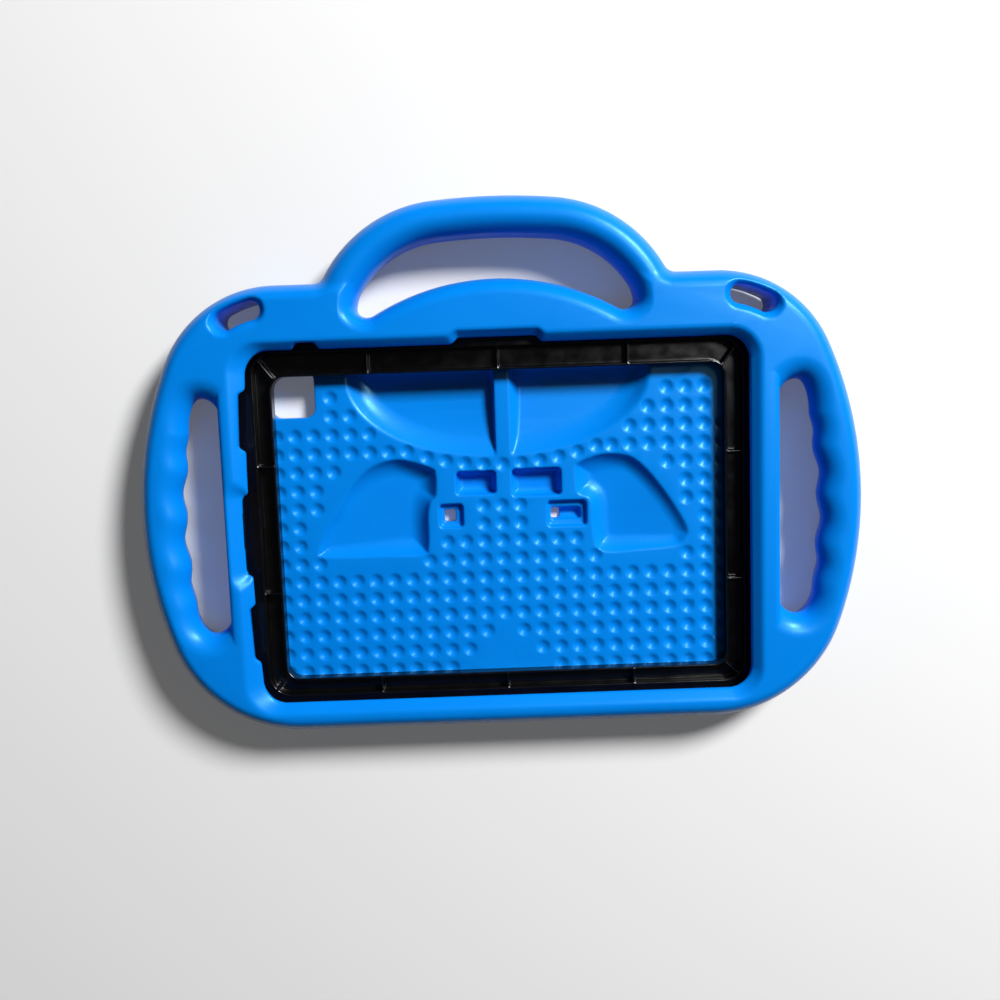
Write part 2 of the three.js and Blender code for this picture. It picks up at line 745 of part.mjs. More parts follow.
const foam = new THREE.MeshStandardMaterial({ color: 0x0a86f0, roughness: 0.55, metalness: 0 });
const plastic = new THREE.MeshStandardMaterial({ color: 0x0d0d10, roughness: 0.3, metalness: 0 });

const tabletCase = new THREE.Group();
tabletCase.add(toMesh(foamBody(), "foam_body", foam));
tabletCase.add(toMesh(spacerFrame(), "inner_frame", plastic));
tabletCase.position.y = -originY;

export default tabletCase;
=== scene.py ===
# A child's tablet case, lying on its back: one thick moulded foam body with a carry handle and two hand
# grips, and the black plastic spacer frame that lies in its pocket. Sizes are in millimetres, measured
# from the middle of the screen opening, and become metres when a mesh is made.
import math

import bmesh
import bpy
import numpy as np
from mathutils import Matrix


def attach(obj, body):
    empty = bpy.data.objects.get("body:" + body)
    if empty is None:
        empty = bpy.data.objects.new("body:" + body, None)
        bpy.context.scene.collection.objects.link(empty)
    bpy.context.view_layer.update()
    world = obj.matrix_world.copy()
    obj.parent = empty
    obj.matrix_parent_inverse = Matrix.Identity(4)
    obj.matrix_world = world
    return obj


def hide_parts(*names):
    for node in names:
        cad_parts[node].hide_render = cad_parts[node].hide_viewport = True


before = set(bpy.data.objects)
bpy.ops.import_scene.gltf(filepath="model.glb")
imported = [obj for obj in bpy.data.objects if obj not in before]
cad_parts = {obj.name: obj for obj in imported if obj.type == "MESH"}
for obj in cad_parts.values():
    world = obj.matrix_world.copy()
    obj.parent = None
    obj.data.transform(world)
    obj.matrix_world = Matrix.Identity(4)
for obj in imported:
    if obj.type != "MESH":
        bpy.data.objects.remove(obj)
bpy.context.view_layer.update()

import openvdb

# Foam body
#
# One piece of closed-cell EVA foam, foamed and pressed in a closed mould, so every edge is round and
# every wall is thick. The handle, the grips, the lip that holds the tablet and the dimpled back panel
# are all the same piece. It lies on its flat back.

# Distance fields. Each holds, for every place in a block of space, how far the surface is, less than
# zero inside the foam. Two of them join or cut with a rounded edge, as foam does in its mould.


def places(low, high, step):
    """Evenly spaced places from low to high, with a margin that the skin needs round the shape."""
    margin = 4 * step
    return np.arange(low - margin, high + margin, step, dtype=np.float32)


def join(a, b, radius):
    """Both shapes, with a fillet of that radius where they meet."""
    near_a, near_b = np.maximum(radius - a, 0), np.maximum(radius - b, 0)
    return np.maximum(radius, np.minimum(a, b)) - np.hypot(near_a, near_b)


def overlap(a, b, radius):
    """What is in both shapes, with its edges rounded."""
    near_a, near_b = np.maximum(radius + a, 0), np.maximum(radius + b, 0)
    return np.minimum(-radius, np.maximum(a, b)) + np.hypot(near_a, near_b)


def cut(shape, cutter, radius):
    return overlap(shape, -cutter, radius)


def arc(x, y, radius, start, end):
    """Points about a millimetre apart along an arc, with its angles in radians."""
    steps = max(4, round(abs(end - start) * radius))
    angles = np.linspace(start, end, steps + 1)
    return [(x + radius * math.cos(angle), y + radius * math.sin(angle)) for angle in angles]


def mirrored(points):
    return [(-x, y) for x, y in reversed(points)]


def line_distance(x, y, points):
    """How far each place is from a line through the points."""
    nearest = np.full(np.broadcast_shapes(x.shape, y.shape), 1e9, np.float32)
    for (from_x, from_y), (to_x, to_y) in zip(points, points[1:]):
        run, rise = to_x - from_x, to_y - from_y
        along = ((x - from_x) * run + (y - from_y) * rise) / max(run * run + rise * rise, 1e-9)
        along = np.clip(along, 0, 1)
        away = (x - from_x - along * run) ** 2 + (y - from_y - along * rise) ** 2
        nearest = np.minimum(nearest, away)
    return np.sqrt(nearest)


def outline_distance(x, y, points):
    """The same for a closed outline, less than zero inside it."""
    closed = points + points[:1]
    inside = np.zeros(np.broadcast_shapes(x.shape, y.shape), bool)
    for (from_x, from_y), (to_x, to_y) in zip(closed, closed[1:]):
        if from_y != to_y:
            crosses = (from_y > y) != (to_y > y)
            inside ^= crosses & (x < from_x + (y - from_y) * (to_x - from_x) / (to_y - from_y))
    distance = line_distance(x, y, closed)
    return np.where(inside, -distance, distance)


def rectangle_distance(x, y, left, right, bottom, top, radius):
    out_x = abs(x - (left + right) / 2) - ((right - left) / 2 - radius)
    out_y = abs(y - (bottom + top) / 2) - ((top - bottom) / 2 - radius)
    outside = np.hypot(np.maximum(out_x, 0), np.maximum(out_y, 0))
    return outside + np.minimum(np.maximum(out_x, out_y), 0) - radius


def ellipse_distance(across, up, half_width, half_height):
    """About how far each place is from an ellipse. Its very middle counts as half its lesser width."""
    size = np.hypot(across / half_width, up / half_height)
    slope = np.hypot(across / half_width**2, up / half_height**2)
    distance = size * (size - 1) / np.maximum(slope, 1e-6)
    return np.where(size > 0, distance, -min(half_width, half_height))


def between(field, bottom, top, radius):
    """A flat outline given a height, with rounded edges."""
    return overlap(field[..., None], abs(z - (bottom + top) / 2) - (top - bottom) / 2, radius)


# The body as a flat plate. Its height goes up in steps: the panel, the frame and the tablet, the lip.
# A cutter runs on by past_face beyond the face that it opens.
body_height = 28
panel_top = 8
lip_underside = 22.3
chamfer_bottom = 24
opening_width, opening_height = 238.6, 170.9
half_width, body_top, body_bottom = 174.5, 116.45, -100.85
handle_top = 154.55
past_face = 9
foam_step = 0.6

x = places(-half_width, half_width, foam_step)[:, None]
y = places(body_bottom, handle_top, foam_step)[None, :]
z = places(0, body_height, foam_step)

side_radius, side_y = 187, 6
side_x = half_width - side_radius
top_radius, bottom_radius = 58.5, 67
dip_radius, dip_corner_radius, dip_crown_drop = 116, 6, 0.3
handle_opening_half = 67


def corner_centre(radius, height):
    return side_x + math.sqrt((side_radius - radius) ** 2 - (height - side_y) ** 2), height


top_corner = corner_centre(top_radius, body_top - top_radius)
bottom_corner = corner_centre(bottom_radius, body_bottom + bottom_radius)
top_angle = math.atan2(top_corner[1] - side_y, top_corner[0] - side_x)
bottom_angle = math.atan2(bottom_corner[1] - side_y, bottom_corner[0] - side_x)

# Under the handle the top edge dips at both ends and rises to a crown in the middle.
dip_y = body_top - dip_crown_drop - dip_radius
dip_corner_x = handle_opening_half - dip_corner_radius
dip_corner_y = dip_y + math.sqrt((dip_radius + dip_corner_radius) ** 2 - dip_corner_x**2)
dip_angle = math.atan2(dip_corner_y - dip_y, dip_corner_x)
right_half = [
    *arc(*bottom_corner, bottom_radius, -math.pi / 2, bottom_angle),
    *arc(side_x, side_y, side_radius, bottom_angle, top_angle),
    *arc(*top_corner, top_radius, top_angle, math.pi / 2),
    (handle_opening_half, body_top),
    *arc(dip_corner_x, dip_corner_y, dip_corner_radius, 0, dip_angle - math.pi),
    *arc(0, dip_y, dip_radius, dip_angle, math.pi / 2),
]
body_outline = outline_distance(x, y, right_half + mirrored(right_half))

# Grip openings. The outer edge follows the side of the body, with a groove for each finger. The grooves
# fade out towards both ends.
grip_inner, grip_outer = 133, 154.8
grip_top, grip_bottom = 64, -50.3
grip_end_top, grip_end_bottom, grip_inner_bend, grip_apex = 17, 12.5, 13, 9.5
finger_pitch, finger_depth, finger_y = 23.2, 2, 6.9
finger_edge_radius, finger_middle, finger_half_span, finger_fade = 240, 5, 42, 12


def finger_edge(height):
    wave = math.cos(2 * math.pi * (height - finger_y) / finger_pitch)
    fade = min(1, (finger_half_span - abs(height - finger_middle)) / finger_fade)
    bow = math.sqrt(finger_edge_radius**2 - height**2) - finger_edge_radius
    return grip_outer + bow - finger_depth / 2 * (1 + wave * fade)


def bend(start, towards, end, fullness=0.58, steps=14):
    """A soft corner: a curve that leaves start and reaches end along the lines to one point."""
    start, towards, end = np.array(start), np.array(towards), np.array(end)
    first = start + (towards - start) * fullness
    last = end + (towards - end) * fullness
    at = np.linspace(0, 1, steps + 1)[:, None]
    curve = (1 - at) ** 3 * start + 3 * (1 - at) ** 2 * at * first
    curve = curve + 3 * (1 - at) * at**2 * last + at**3 * end
    return [tuple(point) for point in curve]


grip_from, grip_to = grip_bottom + grip_end_bottom, grip_top - grip_end_top
apex = grip_inner + grip_apex
inner_top, inner_bottom = grip_top - grip_inner_bend, grip_bottom + grip_inner_bend
grip = [(finger_edge(h), h) for h in np.linspace(grip_from, grip_to, 90)]
grip += bend(grip[-1], (grip[-1][0], grip_top), (apex, grip_top))
grip += bend((apex, grip_top), (grip_inner, grip_top), (grip_inner, inner_top))
grip += bend((grip_inner, inner_bottom), (grip_inner, grip_bottom), (apex, grip_bottom))
grip += bend((apex, grip_bottom), (grip[0][0], grip_bottom), grip[0])
grip_openings = np.minimum(outline_distance(x, y, grip), outline_distance(x, y, mirrored(grip)))


# The outside edges are a quarter of an ellipse, deeper than wide, so the grips are nearly round.
def rounded_slab(outline, inset, drop):
    across = np.maximum(inset + outline, 0)[..., None]
    up = np.maximum(abs(z - body_height / 2) - (body_height / 2 - drop), 0)
    return ellipse_distance(across, up, inset, drop)


edge_inset, edge_drop = 8.3, 13
foam = rounded_slab(body_outline, edge_inset, edge_drop)

# Towards a grip opening the foam is domed, and below its widest height it draws back to the floor. The
# bars between the screen and the grips have a tighter edge.
grip_inset, grip_drop, grip_draw, grip_foot = 11, 10, 0.306, 3
bar_bottom, bar_top, bar_corner, bar_edge = -59, 71, 6, 3
widest = body_height - grip_drop
hand_side = -grip_openings[..., None]
across, up = np.maximum(grip_inset + hand_side, 0), np.maximum(z - widest, 0)
dome = ellipse_distance(across, up, grip_inset, grip_drop)
drawn = (hand_side + grip_draw * (widest - z)) / math.hypot(1, grip_draw)
drawn = overlap(drawn, -z, grip_foot)
foam = np.maximum(foam, np.where(z > widest, dome, drawn))
bars = rectangle_distance(x, y, -grip_inner, grip_inner, bar_bottom, bar_top, bar_corner)
foam = np.minimum(foam, rounded_slab(bars, bar_edge, bar_edge))

# Carry handle, an oval tube that rises from the body in two shoulders and a shallow crown.
handle_width, handle_depth, handle_tail, handle_fillet = 19.2, 26, 6, 3
shoulder_x, shoulder_radius, crown_radius = 22.6, 58, 293
crown_y = handle_top - handle_width / 2 - crown_radius
shoulder_y = crown_y + math.sqrt((crown_radius - shoulder_radius) ** 2 - shoulder_x**2)
join_angle = math.atan2(shoulder_y - crown_y, shoulder_x)
handle_right = [
    (shoulder_x + shoulder_radius, shoulder_y - handle_tail),
    *arc(shoulder_x, shoulder_y, shoulder_radius, 0, join_angle),
    *arc(0, crown_y, crown_radius, join_angle, math.pi / 2),
]
handle_line = line_distance(x, y, handle_right + mirrored(handle_right))
handle = ellipse_distance(
    handle_line[..., None], z - body_height / 2, handle_width / 2, handle_depth / 2
)
foam = join(foam, handle, handle_fillet)
# The mould's two flat faces stop the fillet from rising over them.
foam = np.maximum(foam, abs(z - body_height / 2) - body_height / 2)

# Strap slots along the two top corners, each in a shallow dish.
strap_inset, strap_from, strap_to = 10.9, math.radians(62), math.radians(78)
strap_half, dish_margin, dish_depth, dish_flare = 4.5, 0.3, 3, 2.7
strap_line = arc(*top_corner, top_radius - strap_inset, strap_from, strap_to)
strap = np.minimum(line_distance(x, y, strap_line), line_distance(x, y, mirrored(strap_line)))
dish_start = body_height - dish_depth
dish = strap[..., None] - strap_half - dish_margin - dish_flare * (z - dish_start) / dish_depth
dish = dish * dish_depth / math.hypot(dish_depth, dish_flare)
foam = cut(foam, dish, radius=0.7)
strap_slots = between(strap - strap_half, -past_face, body_height + past_face, radius=0.3)
foam = cut(foam, strap_slots, radius=0.8)

# Pocket for the frame and the tablet, with room beside the buttons, then the screen opening with its
# notches and its chamfer.
pocket_left, pocket_right, pocket_half_height, pocket_corner = -127.6, 124.8, 90.25, 13
pocket = rectangle_distance(
    x, y, pocket_left, pocket_right, -pocket_half_height, pocket_half_height, pocket_corner
)
foam = cut(foam, between(pocket, panel_top, lip_underside, radius=0.5), radius=0.5)
left, right = -opening_width / 2, opening_width / 2
bottom, top = -opening_height / 2, opening_height / 2
lip_corner, notch_radius, notch_back = 11, 2.4, 7.2

# The long lip on the button side bows outwards by the middle, because it is soft and cut by notches.
lip_bow, bow_half_length = 2.4, 80
bowed_x = x + np.where(x < 0, lip_bow * np.maximum(1 - (y / bow_half_length) ** 2, 0), 0)


def top_notch(centre, length, depth):
    return rectangle_distance(
        x, y, centre - length / 2, centre + length / 2, top - notch_back, top + depth, notch_radius
    )


def side_notch(centre, length, depth):
    low, high = centre - length / 2, centre + length / 2
    return rectangle_distance(bowed_x, y, left - depth, left + notch_back, low, high, notch_radius)


screen = rectangle_distance(bowed_x, y, left, right, bottom, top, lip_corner)
wide_notch = top_notch(centre=0, length=39, depth=3)
camera_notch = top_notch(centre=-90.2, length=11, depth=3.2)
upper_notch = side_notch(centre=52.8, length=27.5, depth=3.2)
middle_notch = side_notch(centre=-2.2, length=36, depth=2.8)
lower_notch = side_notch(centre=-50.4, length=27, depth=2.7)
rim = join(screen, wide_notch, radius=3)
opening = rim
for notch in (camera_notch, upper_notch, lower_notch, middle_notch):
    opening = join(opening, notch, radius=2)

# The chamfer runs from the rim to a line of its own on the front face. It is widest beside the notches,
# and steps out round the wide notch. It leans, so chamfer_slope brings its field down to a true distance.
chamfer_left, chamfer_right, chamfer_low, chamfer_high = -127.3, 124.2, -90.4, 89.5
chamfer_corner, chamfer_slope = 15, 0.6
front_line = rectangle_distance(
    x, y, chamfer_left, chamfer_right, chamfer_low, chamfer_high, chamfer_corner
)
step_out = rectangle_distance(x, y, left=-21, right=21, bottom=80, top=92, radius=3)
front_line = join(front_line, step_out, radius=3)
chamfer_rise = body_height - chamfer_bottom
risen = (z - chamfer_bottom) / chamfer_rise
chamfer = rim[..., None] * (1 - risen) + front_line[..., None] * risen
foam = cut(foam, np.maximum(chamfer * chamfer_slope, lip_underside - z), radius=0.8)
lip_opening = between(opening, lip_underside - 3, body_height + past_face, radius=0.3)
foam = cut(foam, lip_opening, radius=0.7)

# Beside the buttons one long smooth scoop takes the place of the chamfer.
scoop_flare, scoop_bottom = 7.4, 23.15
scoop_rise = body_height - scoop_bottom
scoop = side_notch(centre=-2.2, length=39.8, depth=2.8)[..., None]
scoop = scoop - scoop_flare * (z - scoop_bottom) / scoop_rise
scoop = scoop * scoop_rise / math.hypot(scoop_flare, scoop_rise)
foam = cut(foam, np.maximum(scoop, lip_underside - z), radius=1)

# Recesses in the panel. Their walls lean, so each is wider at the panel's face than at its floor. Their
# cutters reach up to the height cut_top, over the panel's face.
cut_top = panel_top + 6


def recess(outline, depth, lean, floor_radius):
    wall = (outline[..., None] + lean * (panel_top - z) / depth) * depth / np.hypot(depth, lean)
    hollow = overlap(wall, panel_top - depth - z, floor_radius)
    return np.maximum(hollow, z - cut_top)


# The half oval's floor curves down towards the handle, and a rib splits it.
oval_y, oval_half_width, oval_drop, oval_end = 70, 74, 39.5, 77
oval = ellipse_distance(x, y - oval_y, oval_half_width, oval_drop)
oval = np.where(y < oval_y, oval, abs(x) - oval_half_width)
oval = np.maximum(oval, y - oval_end)
oval_deep, oval_shallow, oval_lean, oval_wall_slope, oval_bend = 7, 1.6, 1.1, 0.67, 3.5
rise = np.clip((oval_end - y) / (oval_end - oval_y + oval_drop), 0, 1) ** 3
oval_floor = panel_top - oval_deep + (oval_deep - oval_shallow) * rise
sunk = panel_top - z
wall = (oval[..., None] + oval_lean * sunk) * oval_wall_slope
hollow = overlap(wall, oval_floor[..., None] - z, oval_bend)
# The rib runs down into the panel. Its right side leans, and its left side is nearly upright.
rib_middle, rib_half, rib_upright, rib_lean, rib_slope, rib_foot = 1.7, 3.9, 0.1, 0.6, 0.86, 1.2
from_middle = x[..., None] - rib_middle
rib = np.maximum(
    -from_middle - rib_half - rib_upright * sunk, from_middle - rib_half - rib_lean * sunk
)
half_oval = np.maximum(overlap(hollow, -rib_slope * rib, rib_foot), z - cut_top)
foam = cut(foam, half_oval, radius=0.8)


# Two fan recesses, whose floors rise from the inner edge to the tip, the small pockets between them,
# two through holes and the camera window.
def smooth_loop(points, steps=6):
    """A closed curve through the points."""
    loop = []
    for i in range(len(points)):
        before, start, end, after = (np.array(points[(i + k) % len(points)]) for k in range(4))
        for at in np.linspace(0, 1, steps, endpoint=False):
            bow = 2 * before - 5 * start + 4 * end - after
            twist = 3 * start - before - 3 * end + after
            curve = 2 * start + (end - before) * at + bow * at**2 + twist * at**3
            loop.append(tuple(curve / 2))
    return loop


fan_left = [
    (-91.8, -12.7), (-87.3, -2.3), (-80.8, 7.5), (-74.8, 17.7), (-67.5, 25.4), (-59.9, 29.6),
    (-51.4, 31.3), (-42.9, 29.7), (-34.5, 26.6), (-32, 23.8), (-32.2, 12.7), (-35.2, 8.3),
    (-36.4, 1.4), (-36.8, -12.9), (-40.2, -17.4), (-62, -17.2), (-89, -16.6),
]
fan_right = [
    (38.7, 26.8), (47.2, 30), (54.6, 30.7), (63.5, 29.2), (70.8, 23.8), (78.3, 14.8), (85.8, 3.6),
    (91.9, -8.2), (90.6, -13.2), (85.5, -17), (68, -18.3), (52.3, -18.9), (46.1, -15.6),
    (44.6, -4), (44, 7.5), (38.5, 10.6), (37, 14), (36.6, 23.6),
]
fans = [outline_distance(x, y, smooth_loop(points)) for points in (fan_left, fan_right)]
fan_inner, fan_tip, fan_deep, fan_shallow, fan_lean, fan_bend = 32.3, 91.7, 7, 2.8, 1.4, 1.4
fan_depth = fan_deep - (fan_deep - fan_shallow) * (abs(x[..., None]) - fan_inner) / (fan_tip - fan_inner)
fan_depth = np.clip(fan_depth, fan_shallow, fan_deep)
for fan in fans:
    foam = cut(foam, recess(fan, fan_depth, fan_lean, fan_bend * fan_depth), radius=0.8)
# A pocket's wall leans, and bends into its floor, by a share of its depth.
pocket_lean, pocket_bend = 0.12, 0.45
for left_x, right_x, low_y, high_y, depth in (
    (-22.4, -2.6, 12.2, 23.9, 7),
    (5.2, 29.7, 10.6, 24.4, 7),
    (-31.2, -19.3, -3.9, 7.9, 3),
    (22.4, 42, -5, 7.9, 3),
    (24, 39.6, -2.3, 4.6, 7),
):
    box = rectangle_distance(x, y, left_x, right_x, low_y, high_y, radius=2)
    foam = cut(foam, recess(box, depth, pocket_lean * depth, pocket_bend * depth), radius=0.8)
for left_x, right_x, low_y, high_y in ((-28.8, -23.2, -1.2, 5), (24.2, 28.4, -1.2, 4)):
    hole = rectangle_distance(x, y, left_x, right_x, low_y, high_y, radius=1)
    foam = cut(foam, between(hole, -past_face, cut_top, radius=0.3), radius=0.5)
window = rectangle_distance(x, y, left=-112, right=-90, bottom=53.05, top=76.05, radius=5)
foam = cut(foam, between(window, -past_face, cut_top, radius=0.3), radius=0.6)

# Dimples in a square lattice cover what is left of the panel. Each row, counted from the middle, has its
# spans of columns. One more row follows the oval's edge, and two short ones lie between the pockets.
dimple_pitch, dimple_radius, dimple_depth = 9.15, 3.25, 1.3
lattice_y, dimple_reach = -1.8, 2
dimple_rows = {
    7: [(-9, -9), (9, 11)],
    6: [(-9, -8), (8, 11)],
    5: [(-12, -7), (7, 12)],
    4: [(-12, -5), (6, 12)],
    3: [(-12, -9), (9, 12)],
    2: [(-12, -10), (10, 12)],
    1: [(-12, -10), (10, 12)],
    0: [(-12, -11), (11, 12)],
    -1: [(-12, -11), (-3, 4), (11, 12)],
    -2: [(-12, -10), (-4, 5), (10, 12)],
    -3: [(-12, 12)],
    -4: [(-12, 12)],
    -5: [(-12, 12)],
    -6: [(-12, -1), (1, 12)],
    -7: [(-12, -2), (2, 12)],
    -8: [(-12, -3), (3, 12)],
}
row_count, row_left, row_pitch, row_lowest, row_curve = 10, -36.1, 9.27, 27, 0.0035
short_rows = (6.6, -2.4)
oval_row = [row_left + row_pitch * i for i in range(row_count)]
dimples = [(across, row_lowest + row_curve * across**2) for across in oval_row]
dimples += [(dimple_pitch * column, up) for column in (-1, 0, 1) for up in short_rows]
for row, spans in dimple_rows.items():
    for first, last in spans:
        for column in range(first, last + 1):
            dimples.append((dimple_pitch * column, dimple_pitch * row + lattice_y))
ball_radius = (dimple_radius**2 + dimple_depth**2) / (2 * dimple_depth)
ball_z = panel_top - dimple_depth + ball_radius
for across, up in dimples:
    columns = np.flatnonzero(abs(x[:, 0] - across) < dimple_radius + dimple_reach)
    rows = np.flatnonzero(abs(y[0] - up) < dimple_radius + dimple_reach)
    block = np.s_[columns[0] : columns[-1] + 1, rows[0] : rows[-1] + 1, :]
    flat = np.hypot(x[columns] - across, y[:, rows] - up)
    ball = np.hypot(flat[..., None], z - ball_z) - ball_radius
    foam[block] = cut(foam[block], np.maximum(ball, z - cut_top), radius=0.5)


# The mesh is the skin of the field, in metres and thinned where it is flat. screen_y is where the middle
# of the screen opening lies from the middle of the whole case.
screen_y = -26.85


def skin(name, field, step, triangles):
    band = 3 * step
    grid = openvdb.FloatGrid(band)
    grid.copyFromArray(np.clip(field, -band, band))
    points, _, quads = grid.convertToPolygons(isovalue=0.0, adaptivity=0.0)
    low = np.array([x[0, 0], y[0, 0] + screen_y, z[0]])
    points = (points * step + low) / 1000
    mesh = bpy.data.meshes.new(name)
    mesh.vertices.add(len(points))
    mesh.vertices.foreach_set("co", points.astype(np.float32).ravel())
    mesh.loops.add(4 * len(quads))
    mesh.loops.foreach_set("vertex_index", quads.astype(np.int32).ravel())
    mesh.polygons.add(len(quads))
    mesh.polygons.foreach_set("loop_start", np.arange(0, 4 * len(quads), 4, dtype=np.int32))
    mesh.update(calc_edges=True)
    piece = bpy.data.objects.new(name, mesh)
    bpy.context.scene.collection.objects.link(piece)
    thin = piece.modifiers.new("thin", "DECIMATE")
    thin.ratio = min(1, triangles / (2 * len(quads)))
    thin.use_collapse_triangulate = True
    thinned = bpy.data.meshes.new_from_object(
        piece.evaluated_get(bpy.context.evaluated_depsgraph_get())
    )
    piece.modifiers.clear()
    piece.data = thinned
    bpy.data.meshes.remove(mesh)
    # Where two corners of the skin fall together, they are welded, so that no face is without an area.
    editor = bmesh.new()
    editor.from_mesh(thinned)
    bmesh.ops.dissolve_degenerate(editor, dist=1e-7, edges=editor.edges)
    editor.to_mesh(thinned)
    editor.free()
    thinned.shade_smooth()
    return piece


foam_body = skin("moulded_foam_body", foam, foam_step, 190000)


# Closed-cell EVA foam, skinned against a finely grained mould: a satin surface with a soft, broad
# highlight, and a deep even blue that goes all the way through.
def colour(code):
    """A colour written as sRGB hex, as the linear light that Blender works in."""
    parts = [int(code[i : i + 2], 16) / 255 for i in (1, 3, 5)]
    return [c / 12.92 if c < 0.04045 else ((c + 0.055) / 1.055) ** 2.4 for c in parts] + [1]


def add(tree, kind, inputs, **settings):
    """Adds a node with its settings. An input is a plain value or the socket that feeds it."""
    made = tree.nodes.new(kind)
    for name, value in settings.items():
        setattr(made, name, value)
    for name, value in inputs.items():
        if isinstance(value, bpy.types.NodeSocket):
            tree.links.new(value, made.inputs[name])
        else:
            made.inputs[name].default_value = value
    return made


def new_material(name):
    material = bpy.data.materials.new(name)
    material.use_nodes = True
    material.node_tree.nodes.clear()
    return material, material.node_tree


# Where a Mix node of colours takes its share and its two colours, and gives the result
mix_share, mix_first, mix_second, mix_result = 0, 6, 7, 2

eva_foam, tree = new_material("moulded_eva_foam")
where = add(tree, "ShaderNodeTexCoord", {}).outputs["Object"]
# The mould's grain is about 0.4 mm. It is drawn at 0.8 mm, because a finer one is lost in the render.
grain = add(tree, "ShaderNodeTexNoise", {"Vector": where, "Scale": 1 / 0.0008, "Detail": 2.0})
# Uneven foaming shades the skin a little over patches of some 40 mm.
cloud = add(tree, "ShaderNodeTexNoise", {"Vector": where, "Scale": 1 / 0.04, "Detail": 3.0})
tone = add(
    tree,
    "ShaderNodeMix",
    {
        mix_share: cloud.outputs["Fac"],
        mix_first: colour("#007FE3"),
        mix_second: colour("#0088EE"),
    },
    data_type="RGBA",
)
satin = add(
    tree,
    "ShaderNodeMapRange",
    {"Value": grain.outputs["Fac"], "From Min": 0.3, "From Max": 0.7, "To Min": 0.28, "To Max": 0.36},
)
relief = add(
    tree,
    "ShaderNodeBump",
    {"Height": grain.outputs["Fac"], "Strength": 0.25, "Distance": 0.0001},
)
surface = add(
    tree,
    "ShaderNodeBsdfPrincipled",
    {
        "Base Color": tone.outputs[mix_result],
        "Roughness": satin.outputs["Result"],
        "IOR": 1.5,
        "Specular IOR Level": 0.42,
        "Specular Tint": colour("#8ED8FF"),
        "Normal": relief.outputs["Normal"],
    },
)
add(tree, "ShaderNodeOutputMaterial", {"Surface": surface.outputs["BSDF"]})
foam_body.data.materials.append(eva_foam)
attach(foam_body, "root")
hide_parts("foam_body")

# Spacer frame
#
# An open channel of black hard plastic, injection moulded, with cross ribs. It lies loose in the foam
# pocket, where a flange round its top reaches under the lip, and the tablet rests on its two walls.
channel_side, channel_top, channel_bottom = 7.3, 9.8, 6.8
frame_bottom, frame_top, frame_floor = 8.3, 15, 9.8
outer_wall, inner_wall, rib_width, flange_thickness = 1.8, 1.2, 1, 1.6
flange_left, flange_right, flange_half_height = -127.3, 124.5, 89.95
flange_corner, outer_corner, inner_corner = 13, 12, 8
frame_overhang, plastic_edge = 0.5, 0.4
plastic_step = 0.4

x = places(flange_left, flange_right, plastic_step)[:, None]
y = places(-flange_half_height, flange_half_height, plastic_step)[None, :]
z = places(frame_bottom, frame_top, plastic_step)

wall_x, wall_y = opening_width / 2 + frame_overhang, opening_height / 2 + frame_overhang
in_x, in_y = wall_x - outer_wall, wall_y - outer_wall
inner_left, inner_right = -in_x + channel_side, in_x - channel_side
inner_low, inner_high = -in_y + channel_bottom, in_y - channel_top


def ring(outside, inside, low, high):
    return between(np.maximum(outside, -inside), low, high, plastic_edge)


flange = rectangle_distance(
    x, y, flange_left, flange_right, -flange_half_height, flange_half_height, flange_corner
)
outer_out = rectangle_distance(x, y, -wall_x, wall_x, -wall_y, wall_y, outer_corner)
outer_in = rectangle_distance(x, y, -in_x, in_x, -in_y, in_y, outer_corner - outer_wall)
inner_out = rectangle_distance(x, y, inner_left, inner_right, inner_low, inner_high, inner_corner)
inner_in = rectangle_distance(
    x,
    y,
    inner_left + inner_wall,
    inner_right - inner_wall,
    inner_low + inner_wall,
    inner_high - inner_wall,
    inner_corner - inner_wall,
)
plastic = ring(outer_out, inner_in, frame_bottom, frame_floor)
for outside, inside, low in (
    (outer_out, outer_in, frame_bottom),
    (inner_out, inner_in, frame_bottom),
    (flange, outer_in, frame_top - flange_thickness),
):
    plastic = join(plastic, ring(outside, inside, low, frame_top), plastic_edge)

# Cross ribs divide the channel, and one rib crosses each corner. Each ends inside both walls.
rib_spacing, into_inner, into_outer = 62.8, inner_wall / 2, outer_wall / 2
rib_ends = []
for across in (-rib_spacing, 0, rib_spacing):
    rib_ends.append(((across, inner_high - into_inner), (across, in_y + into_outer)))
    rib_ends.append(((across, -in_y - into_outer), (across, inner_low + into_inner)))
for up in (-rib_spacing / 2, rib_spacing / 2):
    up += (inner_low + inner_high) / 2
    rib_ends.append(((inner_right - into_inner, up), (in_x + into_outer, up)))
    rib_ends.append(((-in_x - into_outer, up), (inner_left + into_inner, up)))
corner_inner, corner_outer = 2.7, 2.4
for side in (-1, 1):
    for end in (-1, 1):
        rim_x = (inner_right if side > 0 else inner_left) - side * corner_inner
        rim_y = (inner_high if end > 0 else inner_low) - end * corner_inner
        far = (side * (in_x - corner_outer), end * (in_y - corner_outer))
        rib_ends.append(((rim_x, rim_y), far))
ribs = np.minimum.reduce([line_distance(x, y, ends) for ends in rib_ends]) - rib_width / 2
ribs = between(ribs, frame_bottom, frame_top, plastic_edge)
plastic = join(plastic, ribs, plastic_edge)

spacer = skin("spacer_frame", plastic, plastic_step, 150000)

# Black ABS from a polished mould: nearly black, with sharp bright lines along the tops of its walls.
black_abs, tree = new_material("polished_black_abs")
where = add(tree, "ShaderNodeTexCoord", {}).outputs["Object"]
